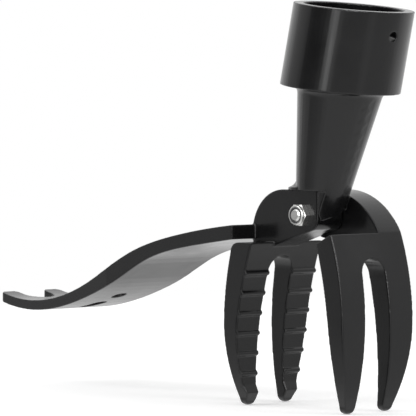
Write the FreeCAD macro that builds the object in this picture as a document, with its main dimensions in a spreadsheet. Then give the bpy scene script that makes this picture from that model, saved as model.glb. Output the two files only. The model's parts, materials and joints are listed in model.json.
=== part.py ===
"""Claw weeder head: a socket and fork casting hinged to a foot pedal and fork casting.

Work is drawn about the hinge pin, x towards the outer fork, y along the pin towards its
head and z up. At the end the whole head is set on the ground: the four claw tips stand
at z = 0 and the origin lies under the middle of the head.
"""
import FreeCAD, Part
import math
import os
from FreeCAD import Vector

SIZES = (
    # socket and neck
    ("collar_radius", 23.0, "outside of the socket collar"),
    ("bore_radius", 19.0, "inside of the socket, for a 38 mm pole"),
    ("collar_length", 32.0, "collar along its axis"),
    ("bore_depth", 25.6, "socket mouth to its floor, on the axis"),
    ("neck_lean", 13.5, "lean of the socket axis from upright, degrees"),
    ("rim_slope", 6.8, "fall of both collar rims from level, degrees"),
    ("neck_length", 49.8, "neck axis from pin height to the collar"),
    ("neck_foot_radius", 9.0, "neck at pin height"),
    ("neck_head_radius", 17.5, "neck cone carried up to the socket floor"),
    ("neck_foot_drop", 2.0, "neck end below pin height, along its axis"),
    ("foot_low", 2.6, "neck foot below the pin, at the lug's front face"),
    ("foot_high", 2.2, "neck foot above the pin, at the cheek"),
    ("neck_offset", 2.6, "socket axis right of the pin, at pin height"),
    ("flare_radius", 3.0, "hollow round under the collar"),
    ("saddle_radius", 9.9, "flare of the neck over the lug, round the pin"),
    ("saddle_start_radius", 6.6, "the same flare where it leaves the neck"),
    ("saddle_height", 15.0, "where the flare leaves the neck, above the pin"),
    ("saddle_hollow", 1.1, "hollow of that flare"),
    ("saddle_lip", 0.3, "edge of the flare above the lug"),
    ("skirt_drop", 1.0, "neck in front of the lug, below the lug's top"),
    ("screw_hole_radius", 1.9, "pole screw hole in the collar"),
    ("screw_hole_drop", 6.6, "pole screw hole below the socket mouth"),
    # hinge
    ("pin_radius", 2.5, "hinge bolt shank"),
    ("pin_clearance", 0.08, "radial clearance of the bolt in both castings"),
    ("lug_half_width", 6.66, "half of the pedal lug's thickness"),
    ("lug_reach", 8.8, "lug from the pin to its flat stop edge"),
    ("lug_top", 10.4, "lug above the pin"),
    ("lug_corner_radius", 1.5, "upper corner of the lug at its stop edge"),
    ("stop_drop", 1.0, "lower end of the stop edge below the pin"),
    ("sole_reach", 6.9, "start of the lug's sloping sole, from the pin"),
    ("sole_drop", 5.5, "start of the sole below the pin"),
    ("sole_bow", 0.6, "bulge between stop edge and sole"),
    ("sole_end_reach", 17.4, "end of the sole in the web, from the pin"),
    ("sole_end_drop", 13.1, "end of the sole in the web, below the pin"),
    ("back_top_reach", 9.0, "where the lug's top begins to round off, from the pin"),
    ("back_top_fall", 0.8, "fall of the lug's top up to there"),
    ("back_middle_reach", 23.2, "middle of the lug's round back, from the pin"),
    ("back_middle_rise", 3.9, "middle of the round back above the pin"),
    ("stop_clearance", 0.35, "gap between the lug and its stop wall"),
    ("side_clearance", 0.2, "gap between the lug and the cheek"),
    ("ceiling_clearance", 0.25, "gap between the lug and the recess ceiling"),
    ("hinge_swing", 11.0, "swing of the pedal that the ceiling leaves room for, degrees"),
    ("cheek_radius", 9.4, "boss of the cheek round the pin"),
    ("shoulder_reach", 18.4, "middle of the shoulder from the pin"),
    ("shoulder_rise", 4.1, "middle of the shoulder above the pin"),
    ("cheek_foot", 2.0, "web between the cheek's foot and the outer fork's arch"),
    ("head_across_flats", 8.0, "hexagon of bolt and nut"),
    ("head_height", 3.5, "bolt head"),
    ("nut_height", 2.3, "hexagon of the lock nut"),
    ("nut_collar_height", 1.1, "round collar of the lock nut"),
    ("nut_collar_radius", 3.9, "round collar of the lock nut"),
    ("insert_radius", 3.1, "outside of the nylon ring"),
    ("insert_height", 1.2, "nylon ring"),
    ("bolt_stand_out", 0.4, "bolt end past the nut"),
    # forks
    ("pin_height", 74.4, "pin above the claw tips"),
    ("half_width", 19.0, "half of the width of both forks and the pedal"),
    ("taper_drop", 38.0, "below the pin, where the tines begin to narrow"),
    ("tip_centre", 10.1, "claw tip from the middle plane"),
    ("tip_half_width", 2.7, "half of a claw tip, seen from the front"),
    ("tip_radius", 1.6, "round of a claw tip, seen from the side"),
    ("gap_half_width", 6.2, "half of the gap between two tines, at its arch"),
    ("outer_arch_drop", 15.8, "top of the outer fork's arch below the pin"),
    ("inner_arch_drop", 16.2, "top of the pedal fork's arch below the pin"),
    ("outer_web_inside", 20.3, "inner face of the outer fork, at its web"),
    ("outer_web_outside", 28.2, "outer face of the outer fork, at its web"),
    ("outer_web_drop", 6.2, "outer fork's web top below the pin, outside"),
    ("outer_web_fall", 3.8, "fall of that top towards the inside"),
    ("outer_hollow", 3.1, "hollow of the outer fork's inner face"),
    ("outer_belly", 34.7, "widest reach of the outer fork"),
    ("outer_tip_reach", 28.2, "outer fork's claw tips from the pin"),
    ("inner_web_inside", 15.0, "inner face of the pedal fork, at its web"),
    ("inner_web_outside", 26.9, "outer face of the pedal fork, at its web"),
    ("inner_web_drop", 10.9, "pedal fork's web top below the pin"),
    ("inner_belly", 30.8, "widest reach of the pedal fork"),
    ("inner_face_reach", 24.5, "inner face of the pedal fork, at its deepest"),
    ("inner_face_drop", 62.0, "where it is deepest, below the pin"),
    ("inner_tip_reach", 26.3, "pedal fork's claw tips from the pin"),
    ("web_corner_radius", 4.0, "round of the pedal fork's outer top edge"),
    ("ridge_count", 6, "ridges on each tine of the pedal fork"),
    ("ridge_pitch", 7.85, "from one ridge to the next"),
    ("first_ridge_drop", 22.8, "top ridge below the pin"),
    ("ridge_radius", 1.0, "round of a ridge"),
    ("barb_reach", 1.6, "barb past the inner face of its tine"),
    ("barb_drop", 69.4, "barb below the pin"),
    ("barb_slope", 3.2, "height over which the barb grows out of the tine"),
    # pedal
    ("plate_thickness", 5.4, "pedal plate, near its root"),
    ("plate_root_reach", 25.8, "square end of the plate from the pin"),
    ("plate_root_overlap", 1.4, "how far the lug runs into the plate and web"),
    ("plate_root_drop", 4.2, "top of the plate below the pin, at its root"),
    ("pedal_reach", 170.6, "toe of the pedal from the pin"),
    ("pedal_drop", 38.85, "lowest point of the pedal's top below the pin"),
    ("toe_lift", 2.5, "rise of the toe above the lowest point"),
    ("taper_reach", 100.0, "where the pedal begins to narrow, from the pin"),
    ("toe_half_width", 15.9, "half of the pedal's width at the toe"),
    ("prong_round", 2.2, "round of the toe prongs' corners, seen from above"),
    ("notch_half_width", 6.8, "half of the notch between the toe prongs"),
    ("notch_depth", 12.0, "notch from the toe"),
    ("pedal_hole_radius", 3.0, "both holes in the pedal"),
    ("slot_length", 13.6, "long hole, end to end"),
    ("slot_reach", 129.9, "middle of the long hole from the pin"),
    ("round_hole_reach", 113.8, "round hole from the pin"),
)

OVERLAP = 1.0                     # how far a drawing runs past the solid that it joins or cuts

doc = FreeCAD.newDocument("weeder_head")
sheet = doc.addObject("Spreadsheet::Sheet", "Sizes")
for row, (alias, number, meaning) in enumerate(SIZES, start=1):
    sheet.set(f"A{row}", alias)
    sheet.set(f"B{row}", str(number))
    sheet.set(f"C{row}", meaning)
    sheet.setAlias(f"B{row}", alias)
doc.recompute()


def size(alias):
    """One driving dimension, in millimetres or degrees."""
    return float(getattr(sheet, alias))


# ---------------------------------------------------------------- drawing tools

def line(start, end):
    return Part.LineSegment(Vector(*start, 0), Vector(*end, 0))


def arc(start, middle, end):
    return Part.Arc(Vector(*start, 0), Vector(*middle, 0), Vector(*end, 0))


def closed_lines(points):
    return [line(a, b) for a, b in zip(points, points[1:] + points[:1])]


def smooth(points):
    curve = Part.BSplineCurve()
    curve.interpolate([Vector(*point, 0) for point in points])
    return curve


def circle(centre, radius):
    return Part.Circle(Vector(*centre, 0), Vector(0, 0, 1), radius)


def turned(radius, degrees):
    """Point about the pin, at an angle above the x axis."""
    return (radius * math.cos(math.radians(degrees)), radius * math.sin(math.radians(degrees)))


def bend(radius):
    """How far the middle of a quarter round lies from the two sides that it joins."""
    return radius * (1 - math.sqrt(0.5))


def bowed(start, end, bow):
    """An arc whose middle stands out by bow, to the left of the way from start to end."""
    across = math.hypot(end[0] - start[0], end[1] - start[1])
    middle = ((start[0] + end[0]) / 2 - bow * (end[1] - start[1]) / across,
              (start[1] + end[1]) / 2 + bow * (end[0] - start[0]) / across)
    return arc(start, middle, end)


def mirrored(point):
    return (-point[0], point[1])


def box_outline(low, high):
    return closed_lines([low, (high[0], low[1]), high, (low[0], high[1])])


def hexagon(across_flats):
    corner = across_flats / math.sqrt(3)
    turns = [math.radians(60 * side) for side in range(6)]
    return closed_lines([(corner * math.cos(t), corner * math.sin(t)) for t in turns])


def new_body(name):
    body = doc.addObject("PartDesign::Body", name)
    body.Label = name
    return body


def sketch(body, name, role, curves, shift=None):
    """A sketch on one of the body's own origin planes, moved along its normal by shift."""
    drawing = body.newObject("Sketcher::SketchObject", name)
    plane = [feature for feature in body.Origin.OriginFeatures if feature.Role == role][0]
    drawing.AttachmentSupport = [(plane, "")]
    drawing.MapMode = "FlatFace"
    if shift:
        drawing.setExpression("AttachmentOffset.Base.z", shift)
    drawing.addGeometry(curves, False)
    return drawing


def feature(body, kind, name, drawing, **settings):
    """A PartDesign feature on a sketch; text settings are expressions on the sheet."""
    made = body.newObject(f"PartDesign::{kind}", name)
    made.Profile = drawing
    drawing.Visibility = False
    for key, value in settings.items():
        if isinstance(value, str) and key in ("Length", "Angle"):
            made.setExpression(key, value)
        else:
            setattr(made, key, value)
    doc.recompute()
    return made


def axial_sketch(body, name, curves, along="0"):
    """A sketch whose upright axis is the socket's axis; along lifts it up that axis."""
    drawing = sketch(body, name, "XZ_Plane", curves)
    drawing.AttachmentOffset = FreeCAD.Placement(
        Vector(0, 0, 0), FreeCAD.Rotation(Vector(0, 0, 1), -size("neck_lean")))
    drawing.setExpression("AttachmentOffset.Rotation.Angle", "-Sizes.neck_lean")
    drawing.setExpression(
        "AttachmentOffset.Base.x", f"Sizes.neck_offset + ({along}) * sin(Sizes.neck_lean)")
    drawing.setExpression("AttachmentOffset.Base.y", f"({along}) * cos(Sizes.neck_lean)")
    return drawing


def on_socket_axis(along):
    """Point of the socket's axis, in x and z, at a distance above pin height."""
    lean = math.radians(size("neck_lean"))
    return (size("neck_offset") + along * math.sin(lean), along * math.cos(lean))


# ---------------------------------------------------------------- forks

def fork_front(arch_drop):
    """Two tapering tines joined by a web, seen along x: an outline in y and z."""
    half = size("half_width")
    taper = -size("taper_drop")
    gap = size("gap_half_width")
    tip_half = size("tip_half_width")
    tip_y = size("tip_centre")
    ground = -size("pin_height")
    tip_z = ground + tip_half
    arch_z = -arch_drop - gap
    above = size("cheek_radius")
    outer_tip = (tip_y + tip_half, tip_z)
    inner_tip = (tip_y - tip_half, tip_z)
    narrowing = half - outer_tip[0]
    side_radius = ((taper - tip_z) ** 2 + narrowing ** 2) / (2 * narrowing)
    half_turn = math.degrees(math.asin((taper - tip_z) / side_radius)) / 2
    side_y, side_z = turned(side_radius, -half_turn)
    side_middle = (half - side_radius + side_y, taper + side_z)
    right = [
        line((half, above), (half, taper)),
        arc((half, taper), side_middle, outer_tip),
        arc(outer_tip, (tip_y, ground), inner_tip),
        line(inner_tip, (gap, arch_z)),
    ]
    left = [
        line(mirrored(inner_tip), (-gap, arch_z)),
        arc(mirrored(inner_tip), (-tip_y, ground), mirrored(outer_tip)),
        arc(mirrored(outer_tip), mirrored(side_middle), (-half, taper)),
        line((-half, taper), (-half, above)),
    ]
    arch = arc((gap, arch_z), (0, -arch_drop), (-gap, arch_z))
    top = line((-half, above), (half, above))
    return right + [arch] + left + [top]


def cut_fork_front(body, arch_drop):
    """Takes away all of the body that lies outside the fork's front outline."""
    margin = size("half_width")
    low = (-2 * margin, -size("pin_height") - margin)
    high = (2 * margin, 2 * margin)
    outline = box_outline(low, high) + fork_front(arch_drop)
    drawing = sketch(body, "fork_front", "YZ_Plane", outline)
    return feature(body, "Pocket", "tines", drawing, Type="ThroughAll", Midplane=True)


def claw_tip(reach):
    """Points on a claw tip, seen from the side: outer, lowest and inner."""
    radius = size("tip_radius")
    ground = -size("pin_height")
    side = math.copysign(radius, reach)
    return (reach + side, ground + radius), (reach, ground), (reach - side, ground + radius)


def outer_fork_side():
    """The outer fork from the side: an outline in x and z."""
    outer_tip, lowest, inner_tip = claw_tip(size("outer_tip_reach"))
    outer_top = (size("outer_web_outside"), -size("outer_web_drop"))
    inner_top = (size("outer_web_inside"), outer_top[1] - size("outer_web_fall"))
    belly = (size("outer_belly"), (outer_top[1] + outer_tip[1]) / 2)
    hollow_x = (inner_top[0] + inner_tip[0]) / 2 + size("outer_hollow")
    hollow = (hollow_x, (inner_top[1] + inner_tip[1]) / 2)
    return [
        arc(outer_top, belly, outer_tip),
        arc(outer_tip, lowest, inner_tip),
        arc(inner_tip, hollow, inner_top),
        line(inner_top, outer_top),
    ]


def inner_face(drop):
    """Where the pedal fork's inner face lies, x at a depth below the pin."""
    top = (-size("inner_web_inside"), -size("inner_web_drop"))
    deep = (-size("inner_face_reach"), -size("inner_face_drop"))
    share = (-drop - top[1]) / (deep[1] - top[1])
    return top[0] + (deep[0] - top[0]) * share * (2 - share)


def inner_fork_side():
    """The pedal fork from the side, with the barb that ends its inner face."""
    outer_tip, lowest, inner_tip = claw_tip(-size("inner_tip_reach"))
    web_top = -size("inner_web_drop")
    corner = size("web_corner_radius")
    outside = -size("inner_web_outside")
    inside_top = (-size("inner_web_inside"), web_top)
    corner_top = (outside + corner, web_top)
    corner_side = (outside, web_top - corner)
    corner_middle = (outside + bend(corner), web_top - bend(corner))
    belly = (-size("inner_belly"), (corner_side[1] + outer_tip[1]) / 2)
    root_drop = size("barb_drop") - size("barb_slope")
    thirds = [-web_top + (root_drop + web_top) * part / 3 for part in range(4)]
    face = smooth([(inner_face(drop), -drop) for drop in thirds])
    barb_root = (inner_face(root_drop), -root_drop)
    barb = (barb_root[0] + size("barb_reach"), -size("barb_drop"))
    return [
        line(inside_top, corner_top),
        arc(corner_top, corner_middle, corner_side),
        arc(corner_side, belly, outer_tip),
        arc(outer_tip, lowest, inner_tip),
        line(inner_tip, barb),
        line(barb, barb_root),
        face,
    ]


# ---------------------------------------------------------------- handle casting

def collar_trims():
    """What is cut off the collar above its upper rim and below its lower rim."""
    far = 2 * size("collar_radius")
    spare = size("collar_radius") / 2
    fall = math.tan(math.radians(size("rim_slope")))
    trims = []
    for along, side in ((size("neck_length"), -1), (collar_top(), 1)):
        x, z = on_socket_axis(along)
        left = (x - far, z + far * fall)
        right = (x + far, z - far * fall)
        trims += closed_lines([
            left, right, (right[0], right[1] + side * spare), (left[0], left[1] + side * spare)])
    return trims


def collar_top():
    return size("neck_length") + size("collar_length")


def add_socket(body):
    """Collar and neck, turned about the socket's axis."""
    outside = size("collar_radius")
    spare = outside / 3
    collar = [(0, size("neck_length") - spare), (outside, size("neck_length") - spare),
              (outside, collar_top() + spare), (0, collar_top() + spare)]
    drawing = axial_sketch(body, "collar_section", closed_lines(collar))
    feature(body, "Revolution", "collar", drawing, ReferenceAxis=(drawing, ["V_Axis"]))
    drawing = sketch(body, "rim_trims", "XZ_Plane", collar_trims())
    feature(body, "Pocket", "rims", drawing, Type="ThroughAll", Midplane=True)

    foot = size("neck_foot_radius")
    head = size("neck_head_radius")
    drop = size("neck_foot_drop")
    inside_top = collar_top() - size("bore_depth")
    section = [
        line((0, -drop), (foot - drop, -drop)),
        arc((foot - drop, -drop), (foot - bend(drop), bend(drop) - drop), (foot, 0)),
        line((foot, 0), (head, inside_top)),
        line((head, inside_top), (0, inside_top)),
        line((0, inside_top), (0, -drop)),
    ]
    drawing = axial_sketch(body, "neck_section", section)
    neck = feature(body, "Revolution", "neck", drawing, ReferenceAxis=(drawing, ["V_Axis"]))
    drawing = sketch(body, "saddle_section", "XZ_Plane", saddle_section())
    feature(body, "Revolution", "saddle", drawing, ReferenceAxis=(drawing, ["V_Axis"]))


def add_flare(body):
    """The round under the collar, where the neck runs into it."""
    neck = body.Tip
    flare = body.newObject("PartDesign::Fillet", "flare")
    flare.Base = (neck, edges_under_collar(neck.Shape))
    flare.setExpression("Radius", "Sizes.flare_radius")
    doc.recompute()


def saddle_section():
    """Half section of the flare at the neck's foot, which turns about the upright through the pin."""
    low = size("lug_top") - OVERLAP
    rim = (size("saddle_radius"), size("lug_top") + size("saddle_lip"))
    start = (size("saddle_start_radius"), size("saddle_height"))
    return [
        bowed(rim, start, size("saddle_hollow")),
        line(start, (0, start[1])),
        line((0, start[1]), (0, low)),
        line((0, low), (rim[0], low)),
        line((rim[0], low), rim),
    ]


def edges_under_collar(shape):
    """Names of the edges where the neck meets the collar's lower rim."""
    x, z = on_socket_axis(size("neck_length"))
    slope = math.radians(size("rim_slope"))
    rim_normal = Vector(math.sin(slope), 0, math.cos(slope))
    names = []
    for number, edge in enumerate(shape.Edges, start=1):
        span = edge.LastParameter - edge.FirstParameter
        points = [edge.valueAt(edge.FirstParameter + span * part / 4) for part in range(5)]
        offsets = [point - Vector(x, 0, z) for point in points]
        in_rim = all(abs(offset.dot(rim_normal)) < 0.01 for offset in offsets)
        inside = all(offset.Length < size("collar_radius") - 1 for offset in offsets)
        if in_rim and inside:
            names.append(f"Edge{number}")
    return names


def cut_socket(body):
    """The pole bore and the screw hole in its wall."""
    floor = collar_top() - size("bore_depth")
    mouth = collar_top() + size("collar_radius")
    bore = box_outline((0, floor), (size("bore_radius"), mouth))
    drawing = axial_sketch(body, "bore_section", bore)
    feature(body, "Groove", "bore", drawing, ReferenceAxis=(drawing, ["V_Axis"]))
    inside = size("bore_radius") / 2
    hole = box_outline((inside, 0), (1.2 * size("collar_radius"), size("screw_hole_radius")))
    along = "Sizes.neck_length + Sizes.collar_length - Sizes.screw_hole_drop"
    drawing = axial_sketch(body, "screw_hole_section", hole, along)
    feature(body, "Groove", "screw_hole", drawing, ReferenceAxis=(drawing, ["H_Axis"]))


def cheek_outline():
    """The cheek that carries the pin and runs over into the outer fork."""
    boss = size("cheek_radius")
    end = (size("outer_web_outside"), -size("outer_web_drop"))
    apex = (size("neck_offset"), boss)
    shoulder = (size("shoulder_reach"), size("shoulder_rise"))
    inside = size("outer_web_inside") + OVERLAP
    low = size("cheek_foot") - size("outer_arch_drop")
    return [
        line((0, boss), apex),
        arc(apex, shoulder, end),
        line(end, (end[0], low)),
        line((end[0], low), (inside, low)),
        line((inside, low), (0, -boss)),
        arc((0, -boss), (-boss, 0), (0, boss)),
    ]


def recess_outline():
    """Room for the pedal's lug: stop wall on the right and a ceiling that the lug just clears.

    The ceiling is level over the lug at rest, rises under the lug's top when the pedal is
    pressed, and ends in an arc about the pin, round which the lug's corner swings.
    """
    wall = size("lug_reach") + size("stop_clearance")
    left = -size("plate_root_reach")
    low = -size("outer_web_drop") - size("lug_top")
    level = size("lug_top") + size("ceiling_clearance")
    corner_radius = math.hypot(size("lug_reach"), size("lug_top")) + size("ceiling_clearance")
    corner_angle = math.degrees(math.atan2(size("lug_top"), size("lug_reach")))
    swing = size("hinge_swing")
    arc_end = turned(corner_radius, corner_angle + swing)
    arc_middle = turned(corner_radius, corner_angle + swing / 2)
    arc_start = (wall, math.sqrt(corner_radius ** 2 - wall ** 2))
    rise = math.tan(math.radians(swing))
    knee = (arc_end[0] - (arc_end[1] - level) / rise, level)
    return [
        line((left, low), (wall, low)),
        line((wall, low), arc_start),
        arc(arc_start, arc_middle, arc_end),
        line(arc_end, knee),
        line(knee, (left, level)),
        line((left, level), (left, low)),
    ]


def front_opening_outline():
    """What is cut off the neck in front of the lug's face, under a skirt that hides its top.

    It leaves the lug's face and the nut open, and the neck beyond them flush with that face.
    """
    wall = size("lug_reach") + size("stop_clearance")
    left = -size("plate_root_reach")
    right = size("outer_web_inside") - size("cheek_foot")
    low = -size("outer_web_drop") - size("lug_top")
    foot = -size("foot_low") - OVERLAP
    skirt = size("lug_top") - size("skirt_drop")
    return closed_lines([(left, low), (wall, low), (wall, foot), (right, foot),
                         (right, skirt), (left, skirt)])


def foot_trim_outline():
    """What is cut off under the neck foot, seen along x: its edge rises towards the cheek."""
    near = -2 * size("lug_half_width")
    far = size("lug_half_width") + size("side_clearance")
    slope = (size("foot_high") + size("foot_low")) / (size("lug_half_width") + far)
    below = -size("lug_top")
    return closed_lines([(near, below), (far, below), (far, size("foot_high")),
                         (near, size("foot_high") - slope * (far - near))])


def pin_hole(body):
    radius = size("pin_radius") + size("pin_clearance")
    drawing = sketch(body, "pin_hole_circle", "XZ_Plane", [circle((0, 0), radius)])
    feature(body, "Pocket", "pin_hole", drawing, Type="ThroughAll", Midplane=True)


def handle_casting():
    body = new_body("handle_casting")
    drawing = sketch(body, "fork_side", "XZ_Plane", outer_fork_side())
    feature(body, "Pad", "fork", drawing, Length="2 * Sizes.half_width", Midplane=True)
    cut_fork_front(body, size("outer_arch_drop"))
    drawing = sketch(body, "cheek_side", "XZ_Plane", cheek_outline(), "-Sizes.half_width")
    feature(body, "Pad", "cheek", drawing,
            Length="Sizes.half_width - Sizes.lug_half_width - Sizes.side_clearance")
    add_socket(body)
    add_flare(body)
    half_recess = "Sizes.lug_half_width + Sizes.side_clearance"
    drawing = sketch(body, "recess_side", "XZ_Plane", recess_outline(), f"-({half_recess})")
    feature(body, "Pocket", "recess", drawing, Reversed=True, Length=f"2 * ({half_recess})")
    drawing = sketch(body, "front_opening", "XZ_Plane", front_opening_outline(), half_recess)
    feature(body, "Pocket", "lug_front", drawing, Reversed=True, Length="2 * Sizes.half_width")
    drawing = sketch(body, "foot_trim", "YZ_Plane", foot_trim_outline())
    feature(body, "Pocket", "foot", drawing, Reversed=True,
            Length="Sizes.outer_web_inside - Sizes.cheek_foot")
    cut_socket(body)
    pin_hole(body)
    return body


# ---------------------------------------------------------------- pedal casting

def lug_outline():
    """The pedal's hinge lug: a round back, a flat stop edge and a sloping sole."""
    reach = size("lug_reach")
    top = size("lug_top")
    corner = size("lug_corner_radius")
    into = size("plate_root_overlap")
    root = -size("plate_root_reach") - into
    plate_top = -size("plate_root_drop")
    plate_end = root - size("plate_thickness")
    back_top = (-size("back_top_reach"), top - size("back_top_fall"))
    back_middle = (-size("back_middle_reach"), size("back_middle_rise"))
    back_foot = (root, plate_top)
    corner_start = (reach - corner, top)
    corner_middle = (reach - bend(corner), top - bend(corner))
    corner_end = (reach, top - corner)
    stop_end = (reach, -size("stop_drop"))
    sole_start = (size("sole_reach"), -size("sole_drop"))
    sole_end = (-size("sole_end_reach"), -size("sole_end_drop"))
    under_plate = plate_top - size("plate_thickness") + into
    return [
        arc(back_foot, back_middle, back_top),
        line(back_top, corner_start),
        arc(corner_start, corner_middle, corner_end),
        line(corner_end, stop_end),
        bowed(stop_end, sole_start, size("sole_bow")),
        line(sole_start, sole_end),
        line(sole_end, (root, sole_end[1])),
        line((root, sole_end[1]), (root, under_plate)),
        line((root, under_plate), (plate_end, under_plate)),
        line((plate_end, under_plate), (plate_end, plate_top - into)),
        line((plate_end, plate_top - into), back_foot),
    ]


def pedal_top():
    """Line of the pedal's top: over the instep, down and up again at the toe."""
    root = (-size("plate_root_reach"), -size("plate_root_drop"))
    length = size("pedal_reach") - size("plate_root_reach")
    fall = size("pedal_drop") - size("plate_root_drop")
    shares = ((0.235, 0.15), (0.412, 0.36), (0.598, 0.744), (0.725, 0.93), (0.841, 1.0))
    toe = (-size("pedal_reach"), -size("pedal_drop") + size("toe_lift"))
    points = [(root[0] - length * x, root[1] - fall * z) for x, z in shares]
    return smooth([root] + points + [toe])


# The plate's thickness along its length, as shares of the length and of plate_thickness.
PLATE_SWELL = ((0, 1.04), (0.20, 1.02), (0.35, 1.08), (0.49, 1.27), (0.61, 1.0), (0.75, 0.80),
               (1, 0.70))


def plate_outline():
    """The plate's long section: its top line and its underside, thicker at the instep."""
    top = pedal_top()
    span = top.LastParameter - top.FirstParameter
    under = []
    for share, swell in PLATE_SWELL:
        at = top.FirstParameter + span * share
        along = top.tangent(at)[0]
        below = Vector(0, -1, 0) if share == 0 else Vector(-along.y, along.x, 0)
        low = top.value(at) + below * size("plate_thickness") * swell
        under.append((low.x, low.y))
    start = top.value(top.FirstParameter)
    end = top.value(top.LastParameter)
    return [
        top,
        smooth(under),
        line((start.x, start.y), under[0]),
        line((end.x, end.y), under[-1]),
    ]


def toe_notch_outline():
    """The U of the notch, opening out over the rounded inner corners of the prongs."""
    toe = -size("pedal_reach")
    half = size("notch_half_width")
    depth = toe + size("notch_depth")
    past = toe - size("notch_depth")
    rounding = size("prong_round")
    turn = bend(rounding)
    wide = half + rounding
    return [
        line((past, -wide), (toe, -wide)),
        arc((toe, -wide), (toe + turn, -half - turn), (toe + rounding, -half)),
        line((toe + rounding, -half), (depth - half, -half)),
        arc((depth - half, -half), (depth, 0), (depth - half, half)),
        line((depth - half, half), (toe + rounding, half)),
        arc((toe + rounding, half), (toe + turn, half + turn), (toe, wide)),
        line((toe, wide), (past, wide)),
        line((past, wide), (past, -wide)),
    ]


def toe_side_outline(side):
    """What the taper and the rounded toe corner leave off one edge of the pedal."""
    start = (-size("taper_reach"), side * size("half_width"))
    toe = -size("pedal_reach")
    rounding = size("prong_round")
    edge = side * size("toe_half_width")
    corner = (toe + rounding, edge)
    corner_middle = (toe + bend(rounding), edge - side * bend(rounding))
    toe_end = (toe, edge - side * rounding)
    past = toe - size("notch_depth")
    out = 2 * start[1]
    return [
        line(start, corner),
        arc(corner, corner_middle, toe_end),
        line(toe_end, (past, toe_end[1])),
        line((past, toe_end[1]), (past, out)),
        line((past, out), (start[0], out)),
        line((start[0], out), start),
    ]


def slot_outline():
    radius = size("pedal_hole_radius")
    middle = -size("slot_reach")
    run = size("slot_length") / 2 - radius
    left = middle - run
    right = middle + run
    return [
        line((left, radius), (right, radius)),
        arc((right, radius), (right + radius, 0), (right, -radius)),
        line((right, -radius), (left, -radius)),
        arc((left, -radius), (left - radius, 0), (left, radius)),
    ]


def ridge_circles():
    """Ridges across the inner face, later cut to the width of the tines."""
    circles = []
    for number in range(int(size("ridge_count"))):
        drop = size("first_ridge_drop") + number * size("ridge_pitch")
        circles.append(circle((inner_face(drop), -drop), size("ridge_radius")))
    return circles


def pedal_casting():
    body = new_body("pedal_casting")
    drawing = sketch(body, "fork_side", "XZ_Plane", inner_fork_side())
    feature(body, "Pad", "fork", drawing, Length="2 * Sizes.half_width", Midplane=True)
    drawing = sketch(body, "ridge_ends", "XZ_Plane", ridge_circles())
    feature(body, "Pad", "ridges", drawing, Length="2 * Sizes.half_width", Midplane=True)
    cut_fork_front(body, size("inner_arch_drop"))
    drawing = sketch(body, "lug_side", "XZ_Plane", lug_outline())
    feature(body, "Pad", "lug", drawing, Length="2 * Sizes.lug_half_width", Midplane=True)
    drawing = sketch(body, "plate_side", "XZ_Plane", plate_outline())
    feature(body, "Pad", "plate", drawing, Length="2 * Sizes.half_width", Midplane=True)
    openings = toe_notch_outline() + slot_outline() + toe_side_outline(1) + toe_side_outline(-1)
    openings.append(circle((-size("round_hole_reach"), 0), size("pedal_hole_radius")))
    drawing = sketch(body, "pedal_openings", "XY_Plane", openings)
    feature(body, "Pocket", "notch_and_holes", drawing, Type="ThroughAll", Midplane=True)
    pin_hole(body)
    return body


# ---------------------------------------------------------------- hinge fasteners

def nut_seat():
    """Where the lock nut seats on the lug, along the pin."""
    return -size("lug_half_width")


def nut_end():
    return nut_seat() - size("nut_height") - size("nut_collar_height")


def corner_chamfer(face, inwards):
    """Section of the slope over a hexagon's corners, from its flats' width outwards."""
    flat = size("head_across_flats") / 2
    past = flat + 2 * OVERLAP
    return closed_lines([(flat, face), (past, face), (past, face + inwards * OVERLAP)])


def hinge_bolt():
    """Hexagon bolt through cheek and lug, its head on the cheek."""
    body = new_body("hinge_bolt")
    drawing = sketch(body, "head_hexagon", "XZ_Plane", hexagon(size("head_across_flats")),
                     "-Sizes.half_width")
    feature(body, "Pad", "head", drawing, Reversed=True, Length="Sizes.head_height")
    radius = size("pin_radius")
    end = nut_end() - size("bolt_stand_out")
    chamfer = radius / 4
    inside = size("half_width") + size("head_height") / 2
    shank = [(0, end), (radius - chamfer, end), (radius, end + chamfer), (radius, inside),
             (0, inside)]
    drawing = sketch(body, "shank_section", "XY_Plane", closed_lines(shank))
    feature(body, "Revolution", "shank", drawing, ReferenceAxis=(drawing, ["V_Axis"]))
    top = size("half_width") + size("head_height")
    drawing = sketch(body, "head_chamfer_section", "XY_Plane", corner_chamfer(top, -1))
    feature(body, "Groove", "head_chamfer", drawing, ReferenceAxis=(drawing, ["V_Axis"]))
    return body


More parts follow.
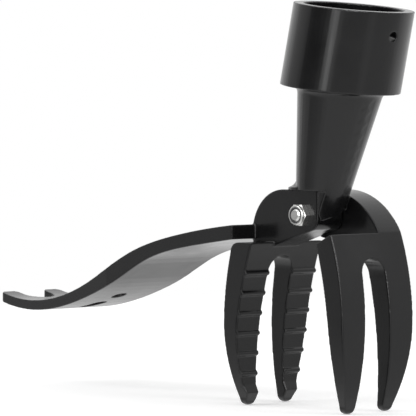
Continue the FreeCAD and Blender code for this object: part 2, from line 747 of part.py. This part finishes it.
def lock_nut():
    """Hexagon nut with a round collar that holds the nylon ring."""
    body = new_body("lock_nut")
    drawing = sketch(body, "nut_hexagon", "XZ_Plane", hexagon(size("head_across_flats")),
                     "Sizes.lug_half_width")
    feature(body, "Pad", "hexagon", drawing, Length="Sizes.nut_height")
    collar = size("nut_collar_radius")
    base = nut_seat() - size("nut_height")
    end = nut_end()
    fillet = size("nut_collar_height") / 2
    turn = bend(fillet)
    inside = base + OVERLAP
    section = [
        line((0, inside), (collar, inside)),
        line((collar, inside), (collar, end + fillet)),
        arc((collar, end + fillet), (collar - turn, end + turn), (collar - fillet, end)),
        line((collar - fillet, end), (0, end)),
        line((0, end), (0, inside)),
    ]
    drawing = sketch(body, "collar_section", "XY_Plane", section)
    feature(body, "Revolution", "collar", drawing, ReferenceAxis=(drawing, ["V_Axis"]))
    drawing = sketch(body, "chamfer_section", "XY_Plane", corner_chamfer(base, 1))
    feature(body, "Groove", "corner_chamfer", drawing, ReferenceAxis=(drawing, ["V_Axis"]))
    thread = size("pin_radius") + size("pin_clearance") / 2
    seat = end + size("insert_height")
    pocket = size("insert_radius") + size("pin_clearance") / 4
    start = nut_seat() + OVERLAP
    past = end - OVERLAP
    hole = closed_lines([(0, start), (thread, start), (thread, seat), (pocket, seat),
                         (pocket, past), (0, past)])
    drawing = sketch(body, "thread_section", "XY_Plane", hole)
    feature(body, "Groove", "thread", drawing, ReferenceAxis=(drawing, ["V_Axis"]))
    return body


def lock_nut_insert():
    """Nylon ring that grips the bolt's end."""
    body = new_body("lock_nut_insert")
    inner = size("pin_radius") + size("pin_clearance") / 4
    low = nut_end() + size("pin_clearance")
    high = nut_end() + size("insert_height")
    ring = box_outline((inner, low), (size("insert_radius"), high))
    drawing = sketch(body, "ring_section", "XY_Plane", ring)
    feature(body, "Revolution", "ring", drawing, ReferenceAxis=(drawing, ["V_Axis"]))
    return body


# ---------------------------------------------------------------- head on the ground

def set_on_ground(bodies):
    """Moves the head so that its box stands centred on the origin, tips at z = 0."""
    whole = FreeCAD.BoundBox()
    for body in bodies:
        whole.add(body.Shape.optimalBoundingBox(False, False))
    shift = Vector(-whole.Center.x, -whole.Center.y, -whole.ZMin)
    for body in bodies:
        body.Placement = FreeCAD.Placement(shift, FreeCAD.Rotation())
    doc.recompute()
    return shift


def check(bodies):
    for thing in doc.Objects:
        bad = {"Invalid", "Error"} & set(thing.State)
        if bad:
            raise RuntimeError(f"{thing.Name}: {bad}")
    for body in bodies:
        if body.Shape.isNull() or not body.Shape.isValid() or len(body.Shape.Solids) != 1:
            raise RuntimeError(f"{body.Label}: not one valid solid")


head = [handle_casting(), pedal_casting(), hinge_bolt(), lock_nut(), lock_nut_insert()]
check(head)
pin = set_on_ground(head)
check(head)
os.makedirs("parts", exist_ok=True)
for piece in head:
    piece.Shape.exportStep(f"parts/{piece.Label}.step")
    print(piece.Label, "volume", round(piece.Shape.Volume, 1))
print("pin at", round(pin.x, 4), round(pin.y, 4), round(pin.z, 4))
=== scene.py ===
"""Finish of the claw weeder head: soft-edged black castings on a bright hinge bolt."""

import json
import math

import bpy
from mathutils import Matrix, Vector


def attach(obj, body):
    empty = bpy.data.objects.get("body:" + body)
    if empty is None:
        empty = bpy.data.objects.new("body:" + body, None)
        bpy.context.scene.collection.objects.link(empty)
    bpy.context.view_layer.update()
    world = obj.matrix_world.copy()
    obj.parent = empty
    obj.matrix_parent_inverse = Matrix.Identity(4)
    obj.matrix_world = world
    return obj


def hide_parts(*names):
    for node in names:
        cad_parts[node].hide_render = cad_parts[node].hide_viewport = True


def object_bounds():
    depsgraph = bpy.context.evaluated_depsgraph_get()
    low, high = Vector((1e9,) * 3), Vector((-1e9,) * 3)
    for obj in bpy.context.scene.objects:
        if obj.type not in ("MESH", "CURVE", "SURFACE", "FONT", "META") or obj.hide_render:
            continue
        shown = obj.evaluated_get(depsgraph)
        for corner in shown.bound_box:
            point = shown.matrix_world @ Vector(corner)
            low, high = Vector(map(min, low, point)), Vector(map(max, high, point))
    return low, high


MM = 0.001
WHITE = (1, 1, 1, 1)

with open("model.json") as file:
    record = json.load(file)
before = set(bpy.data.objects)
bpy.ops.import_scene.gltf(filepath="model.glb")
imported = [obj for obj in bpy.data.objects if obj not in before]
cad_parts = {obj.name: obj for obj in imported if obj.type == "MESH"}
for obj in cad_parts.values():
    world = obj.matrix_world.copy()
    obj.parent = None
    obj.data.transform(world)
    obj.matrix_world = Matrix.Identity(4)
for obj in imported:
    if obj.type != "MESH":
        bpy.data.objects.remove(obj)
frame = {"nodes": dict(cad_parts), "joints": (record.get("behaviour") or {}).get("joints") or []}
cad_box = [list(corner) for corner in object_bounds()]
hinge = Vector(frame["joints"][0]["pos_m"])


# ---------------------------------------------------------------- camera

VIEW_TURN = math.radians(47.3)    # the camera stands between the near side and the outer fork
VIEW_TILT = math.radians(2.0)     # and looks down by this much
VIEW_DISTANCE = 1.346             # from the plane of the hinge
LENS = 303
SENSOR = 36
CAMERA_REACH = 50
VIEW_WIDTH = 0.160                # what the camera takes in at the hinge
HINGE_RIGHT = 0.2545              # the hinge's place right of the view's middle, as a share of its width
HINGE_BELOW = 0.0160              # and below the middle

ACROSS_VIEW = Vector((math.cos(VIEW_TURN), math.sin(VIEW_TURN), 0))
INTO_VIEW = Vector((-math.sin(VIEW_TURN), math.cos(VIEW_TURN), 0))
UP = Vector((0, 0, 1))


def make_camera():
    aim = hinge - ACROSS_VIEW * HINGE_RIGHT * VIEW_WIDTH + UP * HINGE_BELOW * VIEW_WIDTH
    looking = INTO_VIEW * math.cos(VIEW_TILT) - UP * math.sin(VIEW_TILT)
    data = bpy.data.cameras.new("camera")
    data.lens = LENS
    data.sensor_width = SENSOR
    data.clip_end = CAMERA_REACH
    camera = bpy.data.objects.new("camera", data)
    camera.location = aim - looking * VIEW_DISTANCE
    camera.rotation_euler = looking.to_track_quat("-Z", "Y").to_euler()
    bpy.context.scene.collection.objects.link(camera)
    bpy.context.scene.camera = camera


# ---------------------------------------------------------------- shader tools

def feed(tree, value, socket):
    """Sets a socket to a number, or links it to another node's output."""
    if isinstance(value, (int, float)):
        socket.default_value = value
    else:
        tree.links.new(value, socket)


def fill(node, **values):
    """Sets a node's inputs by name, with _ for each space in the name."""
    for key, value in values.items():
        node.inputs[key.replace("_", " ")].default_value = value
    return node


def math_node(tree, operation, *values):
    node = tree.nodes.new("ShaderNodeMath")
    node.operation = operation
    for socket, value in zip(node.inputs, values):
        feed(tree, value, socket)
    return node.outputs[0]


def map_range(tree, source, start, end, low, high, soft=False):
    """Goes from low to high while the source goes from start to end."""
    node = tree.nodes.new("ShaderNodeMapRange")
    if soft:
        node.interpolation_type = "SMOOTHSTEP"
    fill(node, From_Min=start, From_Max=end, To_Min=low, To_Max=high)
    feed(tree, source, node.inputs["Value"])
    return node.outputs["Result"]


# ---------------------------------------------------------------- materials

# The clouds hardly leave this range, so it is what is spread over a material's roughness.
CLOUD_LOW = 0.3
CLOUD_HIGH = 0.7

# Sockets of the colour mix, which can't be told apart by name from those of its other kinds.
MIX_SHARE = 0
MIX_FIRST = 6
MIX_SECOND = 7
MIX_RESULT = 2


def grain_group():
    """Fine orange peel and slow changes of gloss, each with a scale of its own."""
    tree = bpy.data.node_groups.new("coating_grain", "ShaderNodeTree")
    for name in ("Peel", "Cloud"):
        tree.interface.new_socket(name + " Scale", in_out="INPUT", socket_type="NodeSocketFloat")
        tree.interface.new_socket(name, in_out="OUTPUT", socket_type="NodeSocketFloat")
    entry = tree.nodes.new("NodeGroupInput")
    leave = tree.nodes.new("NodeGroupOutput")
    place = tree.nodes.new("ShaderNodeTexCoord").outputs["Object"]
    peel = fill(tree.nodes.new("ShaderNodeTexNoise"), Detail=2.0, Roughness=0.5)
    cloud = fill(tree.nodes.new("ShaderNodeTexNoise"), Detail=4.0, Roughness=0.6)
    for name, noise in (("Peel", peel), ("Cloud", cloud)):
        feed(tree, place, noise.inputs["Vector"])
        feed(tree, entry.outputs[name + " Scale"], noise.inputs["Scale"])
        feed(tree, noise.outputs["Fac"], leave.inputs[name])
    return tree


def grained_material(name, grain, scales, tints, roughness, bump_strength, bump_depth, **settings):
    """A material whose tint and roughness drift in clouds under a fine peel."""
    material = bpy.data.materials.new(name)
    material.use_nodes = True
    tree = material.node_tree
    shader = fill(tree.nodes["Principled BSDF"], **settings)
    texture = tree.nodes.new("ShaderNodeGroup")
    texture.node_tree = grain
    peel_scale, cloud_scale = scales
    fill(texture, Peel_Scale=peel_scale, Cloud_Scale=cloud_scale)
    cloud = texture.outputs["Cloud"]

    tint = tree.nodes.new("ShaderNodeMix")
    tint.data_type = "RGBA"
    first_tint, second_tint = tints
    tint.inputs[MIX_FIRST].default_value = first_tint
    tint.inputs[MIX_SECOND].default_value = second_tint
    feed(tree, cloud, tint.inputs[MIX_SHARE])
    feed(tree, tint.outputs[MIX_RESULT], shader.inputs["Base Color"])

    smoothest, roughest = roughness
    drift = map_range(tree, cloud, CLOUD_LOW, CLOUD_HIGH, smoothest, roughest)
    feed(tree, drift, shader.inputs["Roughness"])

    bump = fill(tree.nodes.new("ShaderNodeBump"), Strength=bump_strength, Distance=bump_depth)
    feed(tree, texture.outputs["Peel"], bump.inputs["Height"])
    feed(tree, bump.outputs["Normal"], shader.inputs["Normal"])
    return material


def black_coating(grain):
    """Satin black stoved powder coat."""
    return grained_material(
        "black_coating",
        grain,
        scales=(900, 60),
        tints=((0.0040, 0.0040, 0.0042, 1), (0.0065, 0.0065, 0.0069, 1)),
        roughness=(0.17, 0.25),
        bump_strength=0.06,
        bump_depth=0.05 * MM,
        IOR=1.45,
    )


def zinc_steel(grain):
    """Bright zinc plate, slightly dulled."""
    return grained_material(
        "zinc_steel",
        grain,
        scales=(2500, 500),
        tints=((0.60, 0.60, 0.59, 1), (0.78, 0.78, 0.76, 1)),
        roughness=(0.22, 0.36),
        bump_strength=0.15,
        bump_depth=0.02 * MM,
        Metallic=1.0,
    )


def nylon(grain):
    """Dark nylon of the locking ring."""
    return grained_material(
        "nylon",
        grain,
        scales=(900, 60),
        tints=((0.030, 0.030, 0.032, 1), (0.045, 0.045, 0.048, 1)),
        roughness=(0.42, 0.55),
        bump_strength=0.10,
        bump_depth=0.02 * MM,
    )


# ---------------------------------------------------------------- castings and fasteners

VOXEL = 0.25 * MM
EDGE_SOFTNESS = 0.5
EDGE_ROUNDS = 9
SKIN_TRIANGLES = 185000


def apply_modifiers(piece):
    seen = piece.evaluated_get(bpy.context.evaluated_depsgraph_get())
    mesh = bpy.data.meshes.new_from_object(seen)
    piece.modifiers.clear()
    piece.data = mesh


def cast_skin(node, name, body, material):
    """A casting's outer skin: its solid with every edge softly rounded by blasting and coating."""
    skin = bpy.data.objects.new(name, frame["nodes"][node].data.copy())
    bpy.context.scene.collection.objects.link(skin)
    remesh = skin.modifiers.new("casting", "REMESH")
    remesh.mode = "VOXEL"
    remesh.voxel_size = VOXEL
    soften = skin.modifiers.new("edges", "SMOOTH")
    soften.factor = EDGE_SOFTNESS
    soften.iterations = EDGE_ROUNDS
    apply_modifiers(skin)
    triangles = 2 * len(skin.data.polygons)    # the remeshed faces have four sides
    if triangles > SKIN_TRIANGLES:
        thin = skin.modifiers.new("thin", "DECIMATE")
        thin.ratio = SKIN_TRIANGLES / triangles
        apply_modifiers(skin)
    skin.data.materials.clear()
    skin.data.materials.append(material)
    skin.data.polygons.foreach_set("use_smooth", [True] * len(skin.data.polygons))
    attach(skin, body)
    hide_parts(node)


def dress_fasteners(steel, plastic):
    for node, material in (("hinge_bolt", steel), ("lock_nut", steel), ("lock_nut_insert", plastic)):
        mesh = frame["nodes"][node].data
        mesh.materials.clear()
        mesh.materials.append(material)


# ---------------------------------------------------------------- floor

FLOOR_HALF = 0.5
FLOOR_COLOUR = (0.92, 0.92, 0.92, 1)
FLOOR_GLOW = 0.30                 # keeps the white ground even away from the lamps


def floor_white():
    material = bpy.data.materials.new("floor_white")
    material.use_nodes = True
    tree = material.node_tree
    tree.nodes.clear()
    diffuse = fill(tree.nodes.new("ShaderNodeBsdfDiffuse"), Color=FLOOR_COLOUR)
    glow = fill(tree.nodes.new("ShaderNodeEmission"), Color=WHITE, Strength=FLOOR_GLOW)
    both = tree.nodes.new("ShaderNodeAddShader")
    output = tree.nodes.new("ShaderNodeOutputMaterial")
    feed(tree, diffuse.outputs[0], both.inputs[0])
    feed(tree, glow.outputs[0], both.inputs[1])
    feed(tree, both.outputs[0], output.inputs["Surface"])
    return material


def make_floor():
    """White ground under the claw tips, which the coating doesn't mirror."""
    ground = cad_box[0][2]
    corners = [(x * FLOOR_HALF, y * FLOOR_HALF, ground) for x, y in ((-1, -1), (1, -1), (1, 1), (-1, 1))]
    mesh = bpy.data.meshes.new("floor")
    mesh.from_pydata(corners, [], [(0, 1, 2, 3)])
    mesh.materials.append(floor_white())
    floor = bpy.data.objects.new("floor", mesh)
    bpy.context.scene.collection.objects.link(floor)
    floor.visible_glossy = False


# ---------------------------------------------------------------- surroundings

# Turns are in degrees from the camera's side of the object, to the right.
# Heights are sines of the angle over the horizon.

# Dark flags: middle turn, half width, soft edge, share of the light that stays.
FLAGS = (
    (-106, 16, 10, 0.65),
    (-67, 19, 9, 0.10),
    (2, 20, 16, 0.50),
    (72, 26, 14, 0.68),
)

# White ceiling and table, with the heights between which each of them fades in.
CEILING = (0.25, 0.75)
FAR_TABLE = (-0.12, -0.32)
FAR_TABLE_LIGHT = 0.55
NEAR_TABLE = (-0.36, -0.52)
NEAR_TABLE_LIGHT = 0.45

# The softbox over the camera draws the bright lines along the castings' rounded edges.
SOFTBOX_HALF = 14                 # half of its width
SOFTBOX_EDGE = 8
SOFTBOX_FOOT = (0.0, 0.12)
SOFTBOX_TOP = (0.60, 0.78)
SOFTBOX_LIGHT = 6.0

FILL_LIGHT = 0.75                 # what the surroundings give to matt surfaces


def along(tree, source, direction):
    """The part of a vector that lies along a direction."""
    node = tree.nodes.new("ShaderNodeVectorMath")
    node.operation = "DOT_PRODUCT"
    node.inputs[1].default_value = direction
    feed(tree, source, node.inputs[0])
    return node.outputs["Value"]


def upright_band(tree, turn, middle, half, edge, inside, outside):
    """The inside value over a range of turns, and the outside value beyond its soft edges."""
    away = math_node(tree, "ABSOLUTE", math_node(tree, "SUBTRACT", turn, math.radians(middle)))
    start = math.radians(half)
    end = math.radians(half + edge)
    return map_range(tree, away, start, end, inside, outside, soft=True)


def flag_shade(tree, turn):
    """The share of the light that the dark flags leave."""
    shade = 1.0
    for middle, half, edge, kept in FLAGS:
        flag = upright_band(tree, turn, middle, half, edge, kept, 1.0)
        shade = math_node(tree, "MULTIPLY", shade, flag)
    return shade


def ceiling_and_table(tree, height):
    ceiling = map_range(tree, height, *CEILING, 0.0, 1.0, soft=True)
    far_table = map_range(tree, height, *FAR_TABLE, 0.0, FAR_TABLE_LIGHT, soft=True)
    near_table = map_range(tree, height, *NEAR_TABLE, 0.0, NEAR_TABLE_LIGHT, soft=True)
    return math_node(tree, "MAXIMUM", ceiling, math_node(tree, "ADD", far_table, near_table))


def softbox(tree, turn, height):
    across = upright_band(tree, turn, 0, SOFTBOX_HALF, SOFTBOX_EDGE, 1.0, 0.0)
    lower = map_range(tree, height, *SOFTBOX_FOOT, 0.0, 1.0, soft=True)
    upper = map_range(tree, height, *SOFTBOX_TOP, SOFTBOX_LIGHT, 0.0, soft=True)
    return math_node(tree, "MULTIPLY", math_node(tree, "MULTIPLY", across, lower), upper)


def background(tree, strength):
    node = fill(tree.nodes.new("ShaderNodeBackground"), Color=WHITE)
    feed(tree, strength, node.inputs["Strength"])
    return node.outputs[0]


def mix_shaders(tree, share, first, second):
    node = tree.nodes.new("ShaderNodeMixShader")
    for socket, value in zip(node.inputs, (share, first, second)):
        feed(tree, value, socket)
    return node.outputs[0]


def make_world():
    """White surroundings with dark flags, as a studio for glossy black goods has."""
    world = bpy.data.worlds.new("studio")
    bpy.context.scene.world = world
    world.use_nodes = True
    tree = world.node_tree
    tree.nodes.clear()
    view = tree.nodes.new("ShaderNodeTexCoord").outputs["Generated"]
    turn = math_node(tree, "ARCTAN2", along(tree, view, ACROSS_VIEW), along(tree, view, -INTO_VIEW))
    height = along(tree, view, UP)

    walls = math_node(tree, "MAXIMUM", flag_shade(tree, turn), ceiling_and_table(tree, height))
    mirrored = background(tree, math_node(tree, "ADD", walls, softbox(tree, turn, height)))
    path = tree.nodes.new("ShaderNodeLightPath").outputs
    lighting = mix_shaders(tree, path["Is Glossy Ray"], background(tree, FILL_LIGHT), mirrored)
    direct = math_node(tree, "MAXIMUM", path["Is Camera Ray"], path["Is Transmission Ray"])
    whole = mix_shaders(tree, direct, lighting, background(tree, 1.0))
    feed(tree, whole, tree.nodes.new("ShaderNodeOutputWorld").inputs["Surface"])


# ---------------------------------------------------------------- lamps

KEY_PLACE = Vector((-0.6, -1.2, 1.5))
SIDE_PLACE = Vector((1.5, 0.6, 0.9))
STRIP_TURN = -36                  # left of the camera, in degrees
STRIP_RISE = 8                    # over the hinge, in degrees
STRIP_DISTANCE = 1.0


def area_lamp(name, place, power, width, height):
    data = bpy.data.lights.new(name, "AREA")
    data.shape = "RECTANGLE"
    data.size = width
    data.size_y = height
    data.energy = power
    lamp = bpy.data.objects.new(name, data)
    lamp.location = place
    lamp.rotation_euler = (hinge - place).to_track_quat("-Z", "Y").to_euler()
    bpy.context.scene.collection.objects.link(lamp)


def strip_place():
    bearing = VIEW_TURN + math.radians(STRIP_TURN)
    rise = math.radians(STRIP_RISE)
    level = Vector((math.sin(bearing), -math.cos(bearing), 0))
    return hinge + STRIP_DISTANCE * (math.cos(rise) * level + math.sin(rise) * UP)


def make_lamps():
    area_lamp("key_lamp", KEY_PLACE, power=8, width=0.8, height=0.8)
    area_lamp("side_lamp", SIDE_PLACE, power=6, width=0.6, height=0.6)
    area_lamp("strip_lamp", strip_place(), power=1.3, width=0.16, height=0.8)


# ---------------------------------------------------------------- the whole scene

make_camera()
grain = grain_group()
coating = black_coating(grain)
cast_skin("handle_casting", "handle_skin", "handle", coating)
cast_skin("pedal_casting", "pedal_skin", "pedal", coating)
dress_fasteners(zinc_steel(grain), nylon(grain))
make_floor()
make_world()
make_lamps()
bpy.context.scene.view_settings.view_transform = "Standard"
